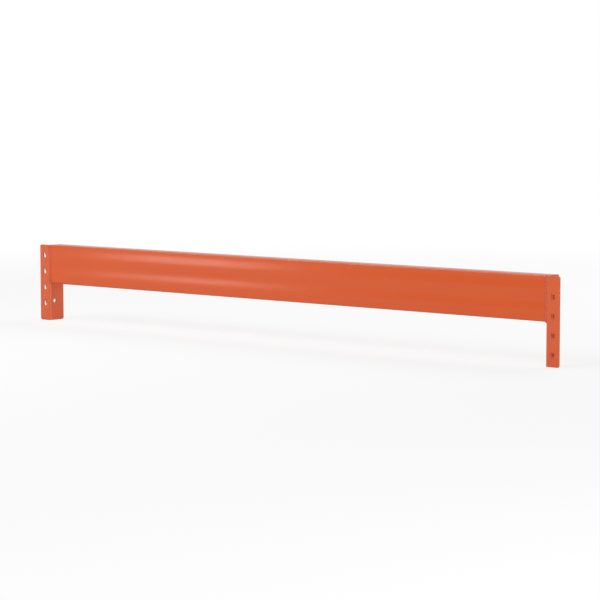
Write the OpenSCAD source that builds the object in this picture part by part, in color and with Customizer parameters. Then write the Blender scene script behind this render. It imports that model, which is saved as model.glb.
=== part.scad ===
// Pallet rack box beam: two interlocking C channels with a hooked connector welded on at each end.
// +X runs along the beam, -Y is the aisle side and +Z is up. The origin is midway along the beam,
// centred front to back, on the plane of the connectors' lower ends. All sizes are in millimetres.

/* [Beam] */
// Clear span between the two uprights, over both end plates
beam_span = 1850; // [900:50:3600]
// Height of the box section
beam_h = 120; // [90:5:150]
// Depth of the box section, front to back
beam_d = 50; // [40:1:65]

/* [Channel sheet] */
// Sheet thickness of each C channel
sheet_t = 1.5; // [1.2:0.1:2.5]
// Inside radius of the channels' bends
sheet_bend_r = 2.5; // [1.5:0.5:4]
// Gap between a flange and the flange that it lies on
nest_gap = 0.1; // [0.05:0.05:0.3]
// Distance from a flange's free edge to the other channel's bend
lip_inset = 1; // [0.5:0.5:5]

/* [Connector plate] */
// Plate thickness
plate_t = 4; // [3:0.5:6]
// Inside radius of the fold
plate_bend_r = 5; // [2:0.5:8]
// Height of the connector
conn_h = 235; // [225:5:300]
// Width of the front flange past the upright's side face
flange_reach = 39; // [32:0.5:48]
// Step from the flange's front back to the box section's front
beam_setback = 3; // [2:0.5:5]
// Plate left over behind the box section
rear_margin = 4; // [3:0.5:12]
// Radius of the plate's free corners
corner_r = 6; // [2:0.5:10]

/* [Hooks] */
// Number of hooks on each connector
hook_count = 4; // [2:1:4]
// Spacing of the hooks, which is the pitch of the upright's slots
hook_pitch = 50; // [40:1:50]
// Drop from the connector's top to the middle of the first window, left end
hook_drop = 30; // [20:1:30]
// How much lower the right end's hooks sit, for slot columns that are staggered
hook_stagger = 25; // [0:1:25]
// Distance from the upright's side face to the hooks' centre line
hook_line = 19; // [16:0.5:22]
// Width of a hook
hook_w = 10; // [7:0.5:14]
// Straight length of a hook's tongue
tongue_l = 8; // [6:0.5:12]
// Throat between the flange and the tongue, for the upright's wall
throat = 3; // [2.25:0.25:5]
// Inside radius of a hook's two bends
hook_bend_r = 1; // [0.5:0.25:1]
// Sheared gap at each side of a hook
lance_gap = 0.5; // [0.3:0.1:1]
// Corner radius of a tongue's tip
tip_r = 3; // [1:0.5:3]
// Depth of the chamfer that leads a tongue in behind the upright's wall
lead_in = 1.5; // [0.5:0.25:2.5]

/* [Safety lock hole] */
// Diameter of the hole in the end plate
lock_d = 11; // [8:0.5:13]
// Drop from the connector's top to the hole's centre
lock_drop = 175; // [165:1:200]
// Distance from the flange's front back to the hole's centre
lock_inset = 20; // [19:1:35]

/* [Weld] */
// Leg length of the fillet weld round the box section
weld_leg = 3; // [2:0.5:3]

/* [Hidden] */
$fn = 64;

paint = "orangered";
past = 1;                                            // how far a cutting shape runs past its faces

// Box section
sheet_outer_r = sheet_bend_r + sheet_t;
web_h = beam_h - sheet_t - nest_gap;
flange_w = beam_d - sheet_outer_r - lip_inset;

// Connector, front to back
conn_d = beam_setback + beam_d + rear_margin;
conn_front = -conn_d / 2;
beam_front = conn_front + beam_setback;
beam_rear = beam_front + beam_d;

// Connector, bottom to top: the section's top is flush with the connector's
beam_top = conn_h;
beam_bottom = beam_top - beam_h;

// Connector, along the beam: the right end's planes
upright_face = beam_span / 2;
weld_face = upright_face - plate_t;
conn_w = plate_t + flange_reach;
plate_outer_r = plate_bend_r + plate_t;

// A hook is lanced from the flange, so its window is as tall as the hook is long when laid flat
hook_arm = throat - 2 * hook_bend_r;
hook_turn = 2 * hook_bend_r + plate_t;
window_w = hook_w + 2 * lance_gap;
window_h = PI * (hook_bend_r + plate_t / 2) + hook_arm + tongue_l;

// A flat rectangle from the origin with its four corners rounded
module rounded_rect(size, r) {
    translate([r, 0]) square([size.x - 2 * r, size.y]);
    translate([0, r]) square([size.x, size.y - 2 * r]);
    for (x = [r, size.x - r], y = [r, size.y - r])
        translate([x, y]) circle(r);
}

// A bent sheet's section: the stretch inside `window` of a rounded frame, with its corner at the origin
module bent_section(frame, window, t, inside_r) {
    intersection() {
        difference() {
            rounded_rect(frame, inside_r + t);
            translate([t, t]) rounded_rect([frame.x - 2 * t, frame.y - 2 * t], inside_r);
        }
        square(window);
    }
}

// A quarter of a ring, in the quadrant that `dir` points into
module quarter_ring(inner_r, outer_r, dir) {
    intersection() {
        difference() {
            circle(outer_r);
            circle(inner_r);
        }
        translate([min(dir.x, 0) * outer_r, min(dir.y, 0) * outer_r]) square(outer_r);
    }
}

// Extrudes a section drawn in Y and Z along the beam, centred on X = 0
module along_x(length) {
    rotate([90, 0, 90]) linear_extrude(length, center = true) children();
}

// Extrudes an outline drawn in X and Z towards +Y from `start`
module along_y(start, length) {
    translate([0, start + length, 0]) rotate([90, 0, 0]) linear_extrude(length) children();
}

// One C channel with its web to the front, its lower flange inside the other channel's
module channel() {
    translate([0, -beam_d / 2, beam_h / 2 - web_h])
        along_x(2 * weld_face)
            bent_section([2 * beam_d, web_h], [flange_w, web_h], sheet_t, sheet_bend_r);
}

// Places a channel in the box section, upright or turned half a turn about its centre line
module in_section(turn) {
    translate([0, beam_front + beam_d / 2, beam_top - beam_h / 2]) rotate([turn, 0, 0]) channel();
}

module front_channel() {
    color(paint) in_section(0);
}

module rear_channel() {
    color(paint) in_section(180);
}

// The folded L plate at the right end, with its free corners rounded
module folded_plate() {
    intersection() {
        translate([weld_face, conn_front, 0])
            linear_extrude(conn_h) bent_section([2 * conn_w, 2 * conn_d], [conn_w, conn_d], plate_t, plate_bend_r);
        along_y(conn_front - past, conn_d + 2 * past)
            translate([weld_face - conn_w, 0]) rounded_rect([2 * conn_w, conn_h], corner_r);
        translate([upright_face, conn_front - conn_d, 0])
            along_x(3 * conn_w) rounded_rect([2 * conn_d, conn_h], corner_r);
    }
}

// The hook's side view: it leaves the flange at the origin, runs back and turns down behind the throat
module hook_section() {
    outer_r = hook_bend_r + plate_t;
    back = plate_t + throat;
    tip = -hook_turn - tongue_l;
    square([plate_t, past]);
    translate([outer_r, 0]) quarter_ring(hook_bend_r, outer_r, [-1, -1]);
    translate([outer_r, -outer_r]) square([hook_arm, plate_t]);
    translate([back - hook_bend_r, -hook_turn]) quarter_ring(hook_bend_r, outer_r, [1, 1]);
    difference() {
        translate([back, tip]) square([plate_t, tongue_l]);
        polygon([[back, tip], [back + lead_in, tip], [back, tip + 2 * lead_in]]);
    }
}

// One hook of the right end, with the top of its window at the height `top`
module hook(top) {
    tip = top - hook_turn - tongue_l;
    intersection() {
        translate([upright_face + hook_line, conn_front, top]) along_x(hook_w) hook_section();
        along_y(conn_front - past, conn_d)
            translate([upright_face + hook_line - hook_w / 2, tip])
                rounded_rect([hook_w, 2 * window_h], tip_r);
    }
}

// The window that a hook was lanced from, with its lower corners rounded as the tongue's tip is
module window(top) {
    along_y(conn_front - past, plate_t + 2 * past)
        translate([upright_face + hook_line - window_w / 2, top - window_h])
            intersection() {
                rounded_rect([window_w, 2 * window_h], tip_r);
                square([window_w, window_h]);
            }
}

module lock_hole() {
    translate([upright_face - plate_t / 2, conn_front + lock_inset, conn_h - lock_drop])
        rotate([0, 90, 0]) cylinder(h = plate_t + 2 * past, d = lock_d, center = true);
}

// The whole connector of the right end, with its first window centred `drop` below the top
module connector(drop) {
    window_tops = [for (i = [0 : hook_count - 1]) conn_h - drop + window_h / 2 - i * hook_pitch];
    difference() {
        folded_plate();
        for (top = window_tops) window(top);
        lock_hole();
    }
    for (top = window_tops) hook(top);
}

module left_connector() {
    color(paint) mirror([1, 0, 0]) connector(hook_drop);
}

module right_connector() {
    color(paint) connector(hook_drop + hook_stagger);
}

// The fillet's section: a quarter disc with its root at the origin, towards -X and +Y
module fillet_section() {
    quarter_ring(0, weld_leg, [-1, 1]);
}

// The front run's section fills the groove between the channel's end and the plate's fold
module groove_section() {
    bead_r = beam_setback + sheet_t;
    half_chord = sqrt(bead_r * bead_r - sheet_t * sheet_t);
    difference() {
        intersection() {
            translate([half_chord - weld_leg, bead_r]) circle(bead_r);
            translate([-weld_leg, 0]) square([weld_leg + 2 * bead_r, bead_r]);
        }
        translate([-weld_leg - past, beam_setback]) square([weld_leg + past, bead_r]);
        translate([plate_outer_r, plate_outer_r]) circle(plate_outer_r);
    }
}

// A run down one side of the box section, from the height `low` up to `high`
module upright_run(y, low, high) {
    translate([weld_face, y, low]) linear_extrude(high - low) children();
}

// A run along the underside, with its root at the height `root`, from `start` back to `end`
module under_run(root, start, end) {
    translate([weld_face, end, root]) rotate([90, 0, 0]) linear_extrude(end - start)
        mirror([0, 1]) fillet_section();
}

// A run round a lower corner of the box section: its bend's centre is at y and z
module corner_run(y, z, first_angle) {
    translate([weld_face, y, z]) rotate([first_angle, 0, 0]) rotate([0, -90, 0])
        rotate_extrude(angle = 90) intersection() {
            translate([sheet_outer_r, 0]) circle(weld_leg);
            translate([sheet_outer_r, 0]) square(weld_leg);
        }
}

// The weld bead of the right end: down the front, along the underside and up the back
module weld_bead() {
    front_bend = [beam_front + sheet_outer_r, beam_top - web_h + sheet_outer_r];
    rear_bend = [beam_rear - sheet_outer_r, beam_bottom + sheet_outer_r];
    lip = front_bend.x + lip_inset;
    upright_run(conn_front, front_bend.y, beam_top - sheet_outer_r) groove_section();
    corner_run(front_bend.x, front_bend.y, 180);
    under_run(beam_top - web_h, front_bend.x, lip);
    under_run(beam_bottom, front_bend.x, rear_bend.x);
    corner_run(rear_bend.x, rear_bend.y, 270);
    upright_run(beam_rear, rear_bend.y, beam_bottom + web_h - sheet_outer_r) fillet_section();
}

module left_weld() {
    color("darkorange") mirror([1, 0, 0]) weld_bead();
}

module right_weld() {
    color("darkorange") weld_bead();
}

front_channel();
rear_channel();
left_connector();
right_connector();
left_weld();
right_weld();
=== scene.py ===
"""Dresses the pallet rack beam: two rolled channels, with a hooked connector welded to each end.

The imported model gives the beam's sizes and places. Each piece made here stands for one of its solids,
with the edges that shearing and coating leave, and the powder coat is made of shader nodes. Lengths are
in metres, azimuths in degrees and the lamps' power in watts, and shares run from 0 to 1.
"""

import logging
import math
from collections.abc import Callable, Iterable
from dataclasses import dataclass, field
from enum import Enum
from typing import Any

import bmesh
import bpy
from mathutils import Matrix, Vector


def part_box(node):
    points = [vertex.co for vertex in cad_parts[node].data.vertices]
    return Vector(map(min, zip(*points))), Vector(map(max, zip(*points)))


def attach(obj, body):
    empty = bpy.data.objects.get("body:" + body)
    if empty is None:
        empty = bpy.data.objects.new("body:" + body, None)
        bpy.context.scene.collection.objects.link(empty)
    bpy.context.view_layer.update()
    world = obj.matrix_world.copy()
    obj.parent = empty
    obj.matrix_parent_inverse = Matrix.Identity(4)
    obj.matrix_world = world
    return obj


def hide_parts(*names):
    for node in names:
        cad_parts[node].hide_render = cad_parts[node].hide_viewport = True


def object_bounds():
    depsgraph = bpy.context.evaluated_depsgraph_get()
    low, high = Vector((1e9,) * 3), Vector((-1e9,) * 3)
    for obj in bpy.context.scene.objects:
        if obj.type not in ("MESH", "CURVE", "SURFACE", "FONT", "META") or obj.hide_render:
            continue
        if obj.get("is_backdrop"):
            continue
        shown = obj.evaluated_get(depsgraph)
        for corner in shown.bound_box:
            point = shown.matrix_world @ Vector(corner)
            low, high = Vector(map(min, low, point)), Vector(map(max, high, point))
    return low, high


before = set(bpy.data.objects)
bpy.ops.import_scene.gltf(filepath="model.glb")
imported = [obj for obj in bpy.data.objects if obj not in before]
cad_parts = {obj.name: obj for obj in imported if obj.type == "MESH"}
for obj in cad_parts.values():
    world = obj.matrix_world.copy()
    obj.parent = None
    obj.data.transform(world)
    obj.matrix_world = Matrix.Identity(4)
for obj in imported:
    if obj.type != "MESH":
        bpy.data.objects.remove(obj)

log = logging.getLogger("beam")

BODY = "root"
# The face attribute that is 1 on every rounded edge
EDGE_MASK = "edge"
# Vertices closer than this are one vertex
SAME_POINT = 1e-6
# Faces that meet at less than this lie in one plane
FLAT_WITHIN = math.radians(0.5)
# Faces that meet at more than this have a sharp edge between them
SHARP_FROM = math.radians(30)
# The sockets of a Mix node that blends colours, which share their names with its other sockets
MIX_FACTOR, MIX_FIRST, MIX_SECOND, MIX_RESULT = 0, 6, 7, 2
WHITE = (1.0, 1.0, 1.0, 1.0)
ALONG_BEAM = Vector((1, 0, 0))

Colour = tuple[float, float, float]
# A yes or no question about an edge
EdgeTest = Callable[[bmesh.types.BMEdge], bool]
# A place on a weld's line, and the way that the line runs there
Station = tuple[Vector, Vector]


class End(Enum):
    """The two ends of the beam, each with its direction along X."""

    LEFT = -1
    RIGHT = 1

    @property
    def word(self) -> str:
        """The end's name as the nodes spell it."""
        return self.name.lower()

    @property
    def connector(self) -> str:
        """The name of the end's connector node."""
        return f"{self.word}_connector"

    @property
    def weld_face(self) -> float:
        """The distance from the beam's middle to the plate that the box section is welded to."""
        return min(abs(corner.x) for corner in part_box(self.connector))


class Layer(Enum):
    """The two channels of the box section, each with its node's name."""

    FRONT = "front_channel"
    REAR = "rear_channel"


# ---------------------------------------------------------------------------------------------- nodes


class Graph:
    """A node tree that is filled one node at a time."""

    def __init__(self, tree: bpy.types.NodeTree) -> None:
        """Takes a tree over and empties it.

        Args:
            tree: The node tree of a material, a world or a group.
        """
        self.tree = tree
        self.tree.nodes.clear()

    def add(
        self, kind: str, inputs: dict[str | int, Any] | None = None, **settings: Any
    ) -> bpy.types.Node:
        """Adds one node and sets or links its inputs.

        Args:
            kind: The node's type, without its ShaderNode prefix.
            inputs: What goes into each input, a socket to link or a plain value.
            **settings: The node's own settings.

        Returns:
            The new node.
        """
        node = self.tree.nodes.new(f"ShaderNode{kind}")
        for name, value in settings.items():
            setattr(node, name, value)
        for key, value in (inputs or {}).items():
            if isinstance(value, bpy.types.NodeSocket):
                self.tree.links.new(value, node.inputs[key])
            else:
                node.inputs[key].default_value = value
        return node

    def math(self, operation: str, *values: Any) -> bpy.types.NodeSocket:
        """Adds a Math node.

        Args:
            operation: The node's operation.
            *values: Its operands, sockets or numbers.

        Returns:
            The node's result.
        """
        return self.add("Math", dict(enumerate(values)), operation=operation).outputs[0]

    def swing(
        self, place: bpy.types.NodeSocket, cell: bpy.types.NodeSocket, detail: float, roughness: float
    ) -> bpy.types.NodeSocket:
        """Adds a noise that swings about 0.

        Args:
            place: The place on the piece.
            cell: The size of the noise's broadest patches, in metres.
            detail: How many finer noises lie on it.
            roughness: How strong each finer one is beside the last.

        Returns:
            The noise, a half at most to each side of 0.
        """
        scale = self.math("DIVIDE", 1.0, cell)
        noise = self.add(
            "TexNoise", {"Vector": place, "Scale": scale, "Detail": detail, "Roughness": roughness}
        )
        return self.math("SUBTRACT", noise.outputs["Fac"], 0.5)

    def mix(self, share: Any, first: bpy.types.Node, second: bpy.types.Node) -> bpy.types.Node:
        """Mixes two shaders.

        Args:
            share: How much of the second one shows, a socket or a number.
            first: The shader node that shows at 0.
            second: The shader node that shows at 1.

        Returns:
            The mixing node, a shader node too.
        """
        return self.add("MixShader", {0: share, 1: first.outputs[0], 2: second.outputs[0]})

    def use(self, group: bpy.types.NodeTree, inputs: dict[str | int, Any]) -> bpy.types.Node:
        """Places a node group.

        Args:
            group: The group's tree.
            inputs: What goes into each named input.

        Returns:
            The group node.
        """
        return self.add("Group", inputs, node_tree=group)


class Group(Graph):
    """A shader node group with named inputs and outputs."""

    def __init__(self, name: str, inputs: dict[str, str], outputs: dict[str, str]) -> None:
        """Makes the group and its sockets.

        Args:
            name: The group's name.
            inputs: Each input's name with its socket type, such as Float.
            outputs: Each output's name with its socket type.
        """
        super().__init__(bpy.data.node_groups.new(name, "ShaderNodeTree"))
        for way, sockets in (("INPUT", inputs), ("OUTPUT", outputs)):
            for socket, kind in sockets.items():
                self.tree.interface.new_socket(socket, in_out=way, socket_type=f"NodeSocket{kind}")
        self.inside = self.tree.nodes.new("NodeGroupInput")
        self.outside = self.tree.nodes.new("NodeGroupOutput")

    def take(self, name: str) -> bpy.types.NodeSocket:
        """The named input, as it is seen inside the group."""
        return self.inside.outputs[name]

    def give(self, name: str, value: bpy.types.NodeSocket) -> None:
        """Links a socket to the named output."""
        self.tree.links.new(value, self.outside.inputs[name])


@dataclass
class PaintEffects:
    """The effects that all the coats share, each a node group that is built once."""

    peel_detail: float = 1.5
    peel_roughness: float = 0.45
    drift_detail: float = 4.0
    drift_roughness: float = 0.6
    edge_smoothing: float = 0.08
    peel: bpy.types.NodeTree = field(init=False)
    drift: bpy.types.NodeTree = field(init=False)
    thinning: bpy.types.NodeTree = field(init=False)

    def __post_init__(self) -> None:
        """Builds the groups."""
        self.peel = self.orange_peel()
        self.drift = self.tone_drift()
        self.thinning = self.edge_thinning()

    def orange_peel(self) -> bpy.types.NodeTree:
        """Builds the fine rolling texture of a baked powder coat.

        Returns:
            The group, which turns a place into a height in metres.
        """
        group = Group(
            "orange_peel", {"Vector": "Vector", "Cell": "Float", "Depth": "Float"}, {"Height": "Float"}
        )
        swing = group.swing(
            group.take("Vector"), group.take("Cell"), self.peel_detail, self.peel_roughness
        )
        group.give("Height", group.math("MULTIPLY", swing, group.take("Depth")))
        return group.tree

    def tone_drift(self) -> bpy.types.NodeTree:
        """Builds the slow change of tone and gloss that an even coat still has.

        Returns:
            The group, which turns a place and the coat's colour and roughness into varied ones.
        """
        group = Group(
            "tone_drift",
            {
                "Vector": "Vector",
                "Color": "Color",
                "Roughness": "Float",
                "Patch": "Float",
                "Amount": "Float",
            },
            {"Color": "Color", "Roughness": "Float"},
        )
        swing = group.swing(
            group.take("Vector"), group.take("Patch"), self.drift_detail, self.drift_roughness
        )
        drift = group.math("MULTIPLY", swing, group.take("Amount"))
        brightness = group.math("ADD", drift, 1.0)
        toned = group.add("HueSaturation", {"Color": group.take("Color"), "Value": brightness})
        group.give("Color", toned.outputs["Color"])
        group.give("Roughness", group.math("SUBTRACT", group.take("Roughness"), drift))
        return group.tree

    def edge_thinning(self) -> bpy.types.NodeTree:
        """Builds the paler, glossier line where the coat draws back from an edge.

        Returns:
            The group, which blends the coat's colour and roughness with those of its edges.
        """
        group = Group(
            "edge_thinning",
            {
                "Color": "Color",
                "Roughness": "Float",
                "Edge": "Float",
                "Thin Color": "Color",
                "Amount": "Float",
            },
            {"Color": "Color", "Roughness": "Float"},
        )
        share = group.math("MULTIPLY", group.take("Edge"), group.take("Amount"))
        mixed = group.add(
            "Mix",
            {MIX_FACTOR: share, MIX_FIRST: group.take("Color"), MIX_SECOND: group.take("Thin Color")},
            data_type="RGBA",
        )
        group.give("Color", mixed.outputs[MIX_RESULT])
        smoother = group.math("MULTIPLY", share, -self.edge_smoothing)
        group.give("Roughness", group.math("ADD", group.take("Roughness"), smoother))
        return group.tree


# ------------------------------------------------------------------------------------------- finishes


@dataclass(frozen=True)
class PowderCoat:
    """A satin powder coat over plain steel plate."""

    name: str = "coated_plate"
    slot: str = "connector_paint"
    colour: Colour = (0.645, 0.083, 0.005)
    thin_colour: Colour = (0.700, 0.105, 0.020)
    roughness: float = 0.25
    gloss: float = 0.75
    peel_cell: float = 0.0022
    peel_depth: float = 0.000035
    patch: float = 0.12
    drift: float = 0.07
    edge_share: float = 0.6

    def surface(self, graph: Graph, place: bpy.types.NodeSocket) -> bpy.types.NodeSocket | None:
        """Adds the relief of the steel under the coat.

        Args:
            graph: The material's nodes.
            place: The place on the piece.

        Returns:
            A height in metres, or None where the steel is plain.
        """
        return None

    def material(self, effects: PaintEffects) -> bpy.types.Material:
        """Builds the finish.

        Args:
            effects: The node groups that the coats share.

        Returns:
            The material.
        """
        made = bpy.data.materials.new(self.name)
        made["slot"] = self.slot
        made.use_nodes = True
        graph = Graph(made.node_tree)
        place = graph.add("TexCoord").outputs["Object"]
        toned = graph.use(
            effects.drift,
            {
                "Vector": place,
                "Color": (*self.colour, 1.0),
                "Roughness": self.roughness,
                "Patch": self.patch,
                "Amount": self.drift,
            },
        )
        edge = graph.add("Attribute", attribute_name=EDGE_MASK).outputs["Fac"]
        thinned = graph.use(
            effects.thinning,
            {
                "Color": toned.outputs["Color"],
                "Roughness": toned.outputs["Roughness"],
                "Edge": edge,
                "Thin Color": (*self.thin_colour, 1.0),
                "Amount": self.edge_share,
            },
        )
        peel = graph.use(
            effects.peel, {"Vector": place, "Cell": self.peel_cell, "Depth": self.peel_depth}
        )
        height = peel.outputs["Height"]
        relief = self.surface(graph, place)
        if relief is not None:
            height = graph.math("ADD", height, relief)
        bump = graph.add("Bump", {"Height": height, "Strength": 1.0, "Distance": 1.0})
        shader = graph.add(
            "BsdfPrincipled",
            {
                "Base Color": thinned.outputs["Color"],
                "Roughness": thinned.outputs["Roughness"],
                "Specular IOR Level": self.gloss,
                "Normal": bump.outputs["Normal"],
            },
        )
        graph.add("OutputMaterial", {"Surface": shader.outputs["BSDF"]})
        return made


@dataclass(frozen=True)
class RolledSheetCoat(PowderCoat):
    """The same coat on roll-formed sheet, whose broad faces keep the rolls' waves and fine lines."""

    name: str = "coated_sheet"
    slot: str = "channel_paint"
    roughness: float = 0.20
    gloss: float = 0.52
    wave_pitch: float = 0.056
    wave_depth: float = 0.00125
    crest_drop: float = 0.038
    sway_scale: tuple[float, float, float] = (1.4, 0.6, 0.6)
    sway_detail: float = 1.0
    line_pitch: float = 0.0035
    line_depth: float = 0.000006
    line_scale_along: float = 2.0
    line_detail: float = 2.0

    def surface(self, graph: Graph, place: bpy.types.NodeSocket) -> bpy.types.NodeSocket:
        """Adds the waves across the web, which swell and fade along it, and the lines along it.

        Args:
            graph: The material's nodes.
            place: The place on the piece.

        Returns:
            A height in metres.
        """
        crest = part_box(Layer.FRONT.value)[1].z - self.crest_drop
        up = graph.add("SeparateXYZ", {"Vector": place}).outputs["Z"]
        turn = graph.math("MULTIPLY", graph.math("SUBTRACT", up, crest), math.tau / self.wave_pitch)
        swayed = graph.add("Mapping", {"Vector": place, "Scale": self.sway_scale})
        sway = graph.add(
            "TexNoise", {"Vector": swayed.outputs["Vector"], "Scale": 1.0, "Detail": self.sway_detail}
        )
        depth = graph.math("MULTIPLY", sway.outputs["Fac"], self.wave_depth)
        wave = graph.math("MULTIPLY", graph.math("COSINE", turn), depth)
        per_line = 1 / self.line_pitch
        line_scale = (self.line_scale_along, per_line, per_line)
        drawn = graph.add("Mapping", {"Vector": place, "Scale": line_scale})
        lines = graph.add(
            "TexNoise", {"Vector": drawn.outputs["Vector"], "Scale": 1.0, "Detail": self.line_detail}
        )
        return graph.math("MULTIPLY_ADD", lines.outputs["Fac"], self.line_depth, wave)


@dataclass(frozen=True)
class WeldCoat(PowderCoat):
    """The coat over a weld bead, where it flows smoother and a little thicker."""

    name: str = "coated_bead"
    slot: str = "weld_paint"
    colour: Colour = (0.600, 0.064, 0.005)
    roughness: float = 0.26
    peel_cell: float = 0.0009
    peel_depth: float = 0.000010
    patch: float = 0.010
    drift: float = 0.12


# --------------------------------------------------------------------------------------------- meshes


def finished_piece(
    name: str, form: bmesh.types.BMesh, node: str, coat: bpy.types.Material
) -> bpy.types.Object:
    """Turns a mesh into a piece that stands for a node of the frame, with its flat faces evenly shaded.

    Args:
        name: The piece's name.
        form: The mesh in the frame's own place, which is used up.
        node: The node that the piece replaces.
        coat: The piece's material, which carries the record's slot.

    Returns:
        The piece.
    """
    mesh = bpy.data.meshes.new(name)
    form.to_mesh(mesh)
    form.free()
    mesh.shade_smooth()
    mesh.set_sharp_from_angle(angle=SHARP_FROM)
    mesh.materials.append(coat)
    piece = bpy.data.objects.new(name, mesh)
    bpy.context.scene.collection.objects.link(piece)
    flat_faces_lead = piece.modifiers.new("even_shading", "WEIGHTED_NORMAL")
    flat_faces_lead.mode = "FACE_AREA"
    flat_faces_lead.keep_sharp = True
    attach(piece, BODY)
    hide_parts(node)
    return piece


def merged_copy(node: str) -> bmesh.types.BMesh:
    """Copies a node's mesh with its doubles merged and its flat faces whole.

    Args:
        node: The node's name.

    Returns:
        The copy.
    """
    form = bmesh.new()
    form.from_mesh(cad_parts[node].data)
    bmesh.ops.remove_doubles(form, verts=form.verts, dist=SAME_POINT)
    bmesh.ops.dissolve_limit(
        form,
        angle_limit=FLAT_WITHIN,
        use_dissolve_boundaries=False,
        verts=form.verts,
        edges=form.edges,
        delimit=set(),
    )
    return form


def break_edges(form: bmesh.types.BMesh, radius: float, segments: int, chosen: EdgeTest) -> None:
    """Rounds sharp outer edges and marks the rounded faces.

    Args:
        form: The mesh to change.
        radius: How far the rounding reaches from each edge.
        segments: The number of faces across it.
        chosen: Tells whether a sharp edge is to be rounded.
    """
    mask = form.faces.layers.float.get(EDGE_MASK) or form.faces.layers.float.new(EDGE_MASK)
    sharp = [e for e in form.edges if e.is_convex and e.calc_face_angle() > SHARP_FROM and chosen(e)]
    rounded = bmesh.ops.bevel(
        form,
        geom=sharp,
        offset=radius,
        offset_type="OFFSET",
        segments=segments,
        profile=0.5,
        affect="EDGES",
        clamp_overlap=False,
        material=-1,
    )
    for face in rounded["faces"]:
        face[mask] = 1.0


@dataclass(frozen=True)
class Channel:
    """One cold-rolled C channel of the box section."""

    layer: Layer
    edge_radius: float = 0.00025
    edge_segments: int = 2

    def build(self) -> bmesh.types.BMesh:
        """Rounds the channel's sheared edges.

        Returns:
            The channel in its place.
        """
        form = merged_copy(self.layer.value)
        break_edges(form, self.edge_radius, self.edge_segments, lambda edge: True)
        return form

    def dress(self, coat: bpy.types.Material) -> bpy.types.Object:
        """The finished channel, with the coat on it."""
        return finished_piece(f"{self.layer.value}_sheet", self.build(), self.layer.value, coat)


@dataclass(frozen=True)
class Connector:
    """A folded end connector with its row of lanced hooks, which stand in a zone past the weld face."""

    end: End
    outline_radius: float = 0.0005
    outline_segments: int = 3
    lanced_radius: float = 0.0002
    lanced_segments: int = 2
    hook_zone: tuple[float, float] = (0.012, 0.028)

    def lanced(self) -> EdgeTest:
        """Finds the column that the hooks and their windows stand in.

        Returns:
            A test that tells whether an edge lies in that column.
        """
        near, far = (self.end.weld_face + reach for reach in self.hook_zone)
        return lambda edge: all(near < abs(vert.co.x) < far for vert in edge.verts)

    def build(self) -> bmesh.types.BMesh:
        """Rounds the connector's outline, and by less the tight edges of its hooks.

        Returns:
            The connector in its place.
        """
        form = merged_copy(self.end.connector)
        is_lanced = self.lanced()
        break_edges(form, self.outline_radius, self.outline_segments, lambda edge: not is_lanced(edge))
        break_edges(form, self.lanced_radius, self.lanced_segments, is_lanced)
        return form

    def dress(self, coat: bpy.types.Material) -> bpy.types.Object:
        """The finished connector, with the coat on it."""
        return finished_piece(f"{self.end.connector}_plate", self.build(), self.end.connector, coat)


def straight(start: Vector, stop: Vector, step: float) -> list[Station]:
    """Walks along a straight line.

    Args:
        start: Where the line starts.
        stop: Where it ends.
        step: The distance between stations, at most.

    Returns:
        The place and direction at each station, without the last.
    """
    way = stop - start
    count = max(1, math.ceil(way.length / step))
    return [(start + way * i / count, way.normalized()) for i in range(count)]


def quarter_turn(centre: Vector, arm: Vector, step: float) -> list[Station]:
    """Walks a quarter of a circle about X, with the turn that takes +Z towards -Y.

    Args:
        centre: The circle's centre.
        arm: The way from the centre to the first station.
        step: The distance between stations, at most.

    Returns:
        The place and direction at each station, without the last.
    """
    count = max(2, math.ceil(arm.length * math.pi / 2 / step))
    stations = []
    for i in range(count):
        turned = Matrix.Rotation(math.pi / 2 * i / count, 3, "X") @ arm
        stations.append((centre + turned, ALONG_BEAM.cross(turned).normalized()))
    return stations


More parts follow.
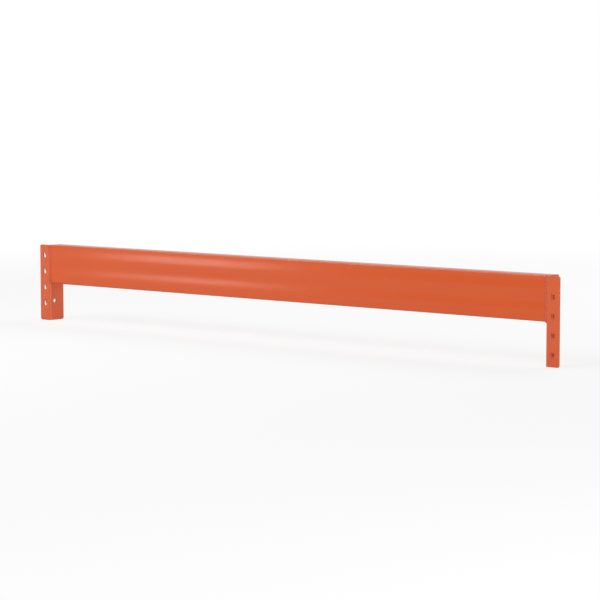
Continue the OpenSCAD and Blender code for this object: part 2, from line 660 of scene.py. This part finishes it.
@dataclass(frozen=True)
class WeldBead:
    """The welds at one end of the box section: a groove weld in front and a fillet round the rest.

    Each run is a tube along its line. Its crown shows, and leans towards the beam's middle by the run's
    lean for each part outwards. Its root is flattened and hidden in the steel. The groove's line lies past
    the weld face by its offset, and its crown behind the flange's front by its sink.
    """

    end: End
    leg: float = 0.0029
    fillet_lean: float = 1.0
    groove_radius: float = 0.0042
    groove_offset: float = 0.0012
    groove_sink: float = 0.0003
    groove_lean: float = 0.3
    bend_radius: float = 0.004
    root_share: float = 0.45
    tip_share: float = 0.05
    ripple_pitch: float = 0.0016
    ripple_depth: float = 0.00022
    ripple_lead: float = 0.0012
    rings_per_ripple: int = 5
    ring_sides: int = 18

    @property
    def node(self) -> str:
        """The name of the weld's node."""
        return f"{self.end.word}_weld"

    @property
    def step(self) -> float:
        """The distance between two rings of the bead."""
        return self.ripple_pitch / self.rings_per_ripple

    def groove_stations(self) -> list[Station]:
        """The line of the groove weld, down the front of the section.

        Returns:
            Its stations, from the upper bend to the lower.
        """
        low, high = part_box(Layer.FRONT.value)
        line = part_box(self.node)[0].y + self.groove_radius + self.groove_sink
        top = Vector((0, line, high.z - self.bend_radius))
        bottom = Vector((0, line, low.z + self.bend_radius / 2))
        return straight(top, bottom, self.step)

    def fillet_stations(self) -> list[Station]:
        """The line of the fillet, round the lower front bend, along the underside and up the back.

        Returns:
            Its stations.
        """
        front_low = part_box(Layer.FRONT.value)[0]
        rear_low, rear_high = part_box(Layer.REAR.value)
        r = self.bend_radius
        front_bend = Vector((0, front_low.y + r, rear_low.z + r))
        rear_bend = Vector((0, rear_high.y - r, rear_low.z + r))
        rear_top = Vector((0, rear_high.y, rear_high.z - r))
        forward = Vector((0, -r, 0))
        down = Vector((0, 0, -r))
        return [
            *quarter_turn(front_bend, forward, self.step),
            *straight(front_bend + down, rear_bend + down, self.step),
            *quarter_turn(rear_bend, down, self.step),
            *straight(rear_bend - forward, rear_top, self.step),
        ]

    def ring_size(self, radius: float, travelled: float, total: float) -> float:
        """Works out the radius of one ring.

        Args:
            radius: The bead's radius over its ripples.
            travelled: How far along the run the ring is.
            total: The run's length.

        Returns:
            The ring's radius, with its ripple, and drawn in towards the run's ends.
        """
        phase = travelled / self.ripple_pitch % 1.0
        rippled = radius - self.ripple_depth * (1 - abs(math.sin(math.pi * phase)))
        to_end = min(travelled, total - travelled, radius) / radius
        return rippled * max(self.tip_share, math.sqrt(1 - (1 - to_end) ** 2))

    def lay_run(self, stations: list[Station], radius: float, crown: Vector) -> bmesh.types.BMesh:
        """Lays one run of rippled bead by rolling a grid into a tube, one ring at each station.

        Args:
            stations: The run's line, in the plane X = 0.
            radius: The bead's radius over its ripples.
            crown: The way that the crown of the bead faces, as a part along X and a part outwards.

        Returns:
            The run, closed at its ends.
        """
        form = bmesh.new()
        last = len(stations) - 1
        half = 0.5
        bmesh.ops.create_grid(form, x_segments=last, y_segments=self.ring_sides, size=half)
        for vert in form.verts:
            passed = (vert.co.x + half) * last
            place, way = stations[round(passed)]
            angle = (vert.co.y + half) * math.tau
            facing = Vector((math.cos(angle), math.sin(angle)))
            size = self.ring_size(radius, passed * self.step, last * self.step)
            # Each ripple leads at the crown and lags behind at the root
            lag = (facing.dot(crown.normalized()) - 1) / 2 * self.ripple_lead
            outward = facing.y if facing.y > 0 else facing.y * self.root_share
            arm = ALONG_BEAM * facing.x + way.cross(ALONG_BEAM) * outward
            vert.co = place + arm * size + way * lag
        bmesh.ops.remove_doubles(form, verts=form.verts, dist=SAME_POINT)
        bmesh.ops.holes_fill(form, edges=[edge for edge in form.edges if edge.is_boundary], sides=0)
        bmesh.ops.recalc_face_normals(form, faces=form.faces)
        return form

    def build(self) -> bmesh.types.BMesh:
        """Lays both runs against the connector.

        Returns:
            The bead in its place.
        """
        side = self.end.value
        runs = (
            (self.groove_stations(), self.groove_radius, self.groove_lean, self.groove_offset),
            (self.fillet_stations(), self.leg, self.fillet_lean, 0.0),
        )
        form = bmesh.new()
        for stations, radius, lean, offset in runs:
            run = self.lay_run(stations, radius, Vector((-side * lean, 1)))
            bmesh.ops.translate(run, vec=(side * (self.end.weld_face + offset), 0, 0), verts=run.verts)
            laid = bpy.data.meshes.new("run")
            run.to_mesh(laid)
            run.free()
            form.from_mesh(laid)
            bpy.data.meshes.remove(laid)
        # A bead has no rounded edge, so its mask stays 0
        form.faces.layers.float.new(EDGE_MASK)
        return form

    def dress(self, coat: bpy.types.Material) -> bpy.types.Object:
        """The finished bead, with the coat on it."""
        return finished_piece(f"{self.end.word}_weld_bead", self.build(), self.node, coat)


# --------------------------------------------------------------------------------------------- studio


def around(azimuth: float, distance: float, height: float) -> Vector:
    """A place round the beam's middle.

    Args:
        azimuth: The angle from the aisle side towards +X, in degrees.
        distance: The distance from the middle, over the floor.
        height: The height over the floor.

    Returns:
        The place.
    """
    angle = math.radians(azimuth)
    return Vector((distance * math.sin(angle), -distance * math.cos(angle), height))


@dataclass(frozen=True)
class Softbox:
    """A rectangular studio light that faces a point of the beam."""

    name: str
    azimuth: float
    distance: float
    height: float
    width: float
    tall: float
    power: float
    aim: Vector = field(default_factory=lambda: Vector((0, 0, 0.15)))

    def place(self) -> None:
        """Puts the light up, out of the camera's sight."""
        light = bpy.data.lights.new(self.name, "AREA")
        light.shape = "RECTANGLE"
        light.size = self.width
        light.size_y = self.tall
        light.energy = self.power
        lamp = bpy.data.objects.new(self.name, light)
        bpy.context.scene.collection.objects.link(lamp)
        lamp.location = around(self.azimuth, self.distance, self.height)
        lamp.rotation_euler = (self.aim - lamp.location).to_track_quat("-Z", "Y").to_euler()
        lamp.visible_camera = False


@dataclass(frozen=True)
class Studio:
    """A white room: an endless pale floor, even light from all round and a few softboxes.

    To the eye, the floor starts to grow whiter at one distance from the beam and is white from another.
    """

    floor_reach: float = 60.0
    floor_tone: float = 0.80
    floor_glow: float = 0.78
    whiter_from: float = 1.0
    white_from: float = 4.5
    ambient: float = 0.33
    mirrored_share: float = 0.5
    softboxes: tuple[Softbox, ...] = (
        Softbox(
            name="strip_light",
            azimuth=60.0,
            distance=3.8,
            height=0.30,
            width=2.4,
            tall=0.60,
            power=42.0,
            aim=Vector((-0.9, 0, 0.12)),
        ),
        Softbox(
            name="high_softbox",
            azimuth=-30.0,
            distance=2.3,
            height=2.3,
            width=3.0,
            tall=1.6,
            power=60.0,
            aim=Vector((-0.3, 0, 0.15)),
        ),
        Softbox(
            name="top_softbox", azimuth=0.0, distance=0.3, height=3.2, width=3.0, tall=1.6, power=8.0
        ),
        Softbox(
            name="low_softbox",
            azimuth=-46.5,
            distance=3.7,
            height=0.30,
            width=0.6,
            tall=0.30,
            power=2.9,
            aim=Vector((-0.3, 0, 0.17)),
        ),
        Softbox(
            name="rear_softbox", azimuth=170.0, distance=2.4, height=2.3, width=3.0, tall=1.6, power=48.0
        ),
    )

    def seen_rays(self, graph: Graph) -> bpy.types.NodeSocket:
        """Adds the share of the room's own white that each kind of ray sees.

        Args:
            graph: The nodes of the floor or the world.

        Returns:
            1 for camera and transmission rays, less for glossy rays and 0 for the rest.
        """
        path = graph.add("LightPath").outputs
        straight_on = graph.math("MAXIMUM", path["Is Camera Ray"], path["Is Transmission Ray"])
        return graph.math("MULTIPLY_ADD", path["Is Glossy Ray"], self.mirrored_share, straight_on)

    def build_world(self) -> None:
        """Makes the room white to the eye, and lights the beam evenly with less."""
        world = bpy.data.worlds.new("white_room")
        world.use_nodes = True
        bpy.context.scene.world = world
        graph = Graph(world.node_tree)
        lit = graph.add("Background", {"Color": WHITE, "Strength": self.ambient})
        seen = graph.add("Background", {"Color": WHITE, "Strength": 1.0})
        mixed = graph.mix(self.seen_rays(graph), lit, seen)
        graph.add("OutputWorld", {"Surface": mixed.outputs[0]})

    def floor_material(self) -> bpy.types.Material:
        """Builds the floor's finish, which glows a little to the eye and can't be seen from below.

        Returns:
            The material.
        """
        made = bpy.data.materials.new("pale_floor")
        made.use_nodes = True
        graph = Graph(made.node_tree)
        matt = graph.add("BsdfDiffuse", {"Color": (self.floor_tone,) * 3 + (1.0,)})
        glow = graph.add("Emission", {"Color": WHITE, "Strength": 1.0})
        away = graph.add("VectorMath", {0: graph.add("TexCoord").outputs["Object"]}, operation="LENGTH")
        fade = graph.add(
            "MapRange",
            {
                "Value": away.outputs["Value"],
                "From Min": self.whiter_from,
                "From Max": self.white_from,
                "To Min": self.floor_glow,
                "To Max": 1.0,
            },
            interpolation_type="SMOOTHSTEP",
        )
        share = graph.math("MULTIPLY", self.seen_rays(graph), fade.outputs["Result"])
        top = graph.mix(share, matt, glow)
        clear = graph.add("BsdfTransparent")
        below = graph.add("NewGeometry").outputs["Backfacing"]
        whole = graph.mix(below, top, clear)
        graph.add("OutputMaterial", {"Surface": whole.outputs[0]})
        return made

    def build_floor(self) -> None:
        """Lays the floor under the connectors' lower ends."""
        form = bmesh.new()
        bmesh.ops.create_grid(form, x_segments=1, y_segments=1, size=self.floor_reach)
        bmesh.ops.translate(form, vec=(0, 0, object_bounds()[0].z), verts=form.verts)
        mesh = bpy.data.meshes.new("floor")
        form.to_mesh(mesh)
        form.free()
        mesh.materials.append(self.floor_material())
        floor = bpy.data.objects.new("floor", mesh)
        bpy.context.scene.collection.objects.link(floor)
        floor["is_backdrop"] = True

    def build(self) -> None:
        """Builds the room and puts its lights up."""
        self.build_world()
        self.build_floor()
        for softbox in self.softboxes:
            softbox.place()
        log.info("studio: %d softboxes", len(self.softboxes))


@dataclass(frozen=True)
class Viewpoint:
    """The camera, which looks along the beam from beyond its right end."""

    place: Vector = field(default_factory=lambda: Vector((3.952, -4.577, 0.668)))
    aim: Vector = field(default_factory=lambda: Vector((0.075, 0, 0.12)))
    lens: float = 128.0
    sees_to: float = 200.0

    def build(self) -> None:
        """Makes the scene's camera."""
        camera = bpy.data.objects.new("camera", bpy.data.cameras.new("camera"))
        bpy.context.scene.collection.objects.link(camera)
        camera.data.lens = self.lens
        camera.data.clip_end = self.sees_to
        camera.location = self.place
        camera.rotation_euler = (self.aim - self.place).to_track_quat("-Z", "Y").to_euler()
        bpy.context.scene.camera = camera


def main() -> None:
    """Builds the beam's pieces, the studio and the camera."""
    logging.basicConfig(level=logging.INFO, format="%(message)s")
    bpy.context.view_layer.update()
    Viewpoint().build()
    effects = PaintEffects()
    sheet_coat = RolledSheetCoat().material(effects)
    plate_coat = PowderCoat().material(effects)
    bead_coat = WeldCoat().material(effects)
    pieces = [Channel(layer).dress(sheet_coat) for layer in Layer]
    for end in End:
        pieces.append(Connector(end).dress(plate_coat))
        pieces.append(WeldBead(end).dress(bead_coat))
    for piece in pieces:
        log.info("%s: %d faces", piece.name, len(piece.data.polygons))
    Studio().build()
    bpy.context.scene.view_settings.view_transform = "Standard"


if __name__ == "__main__":
    main()
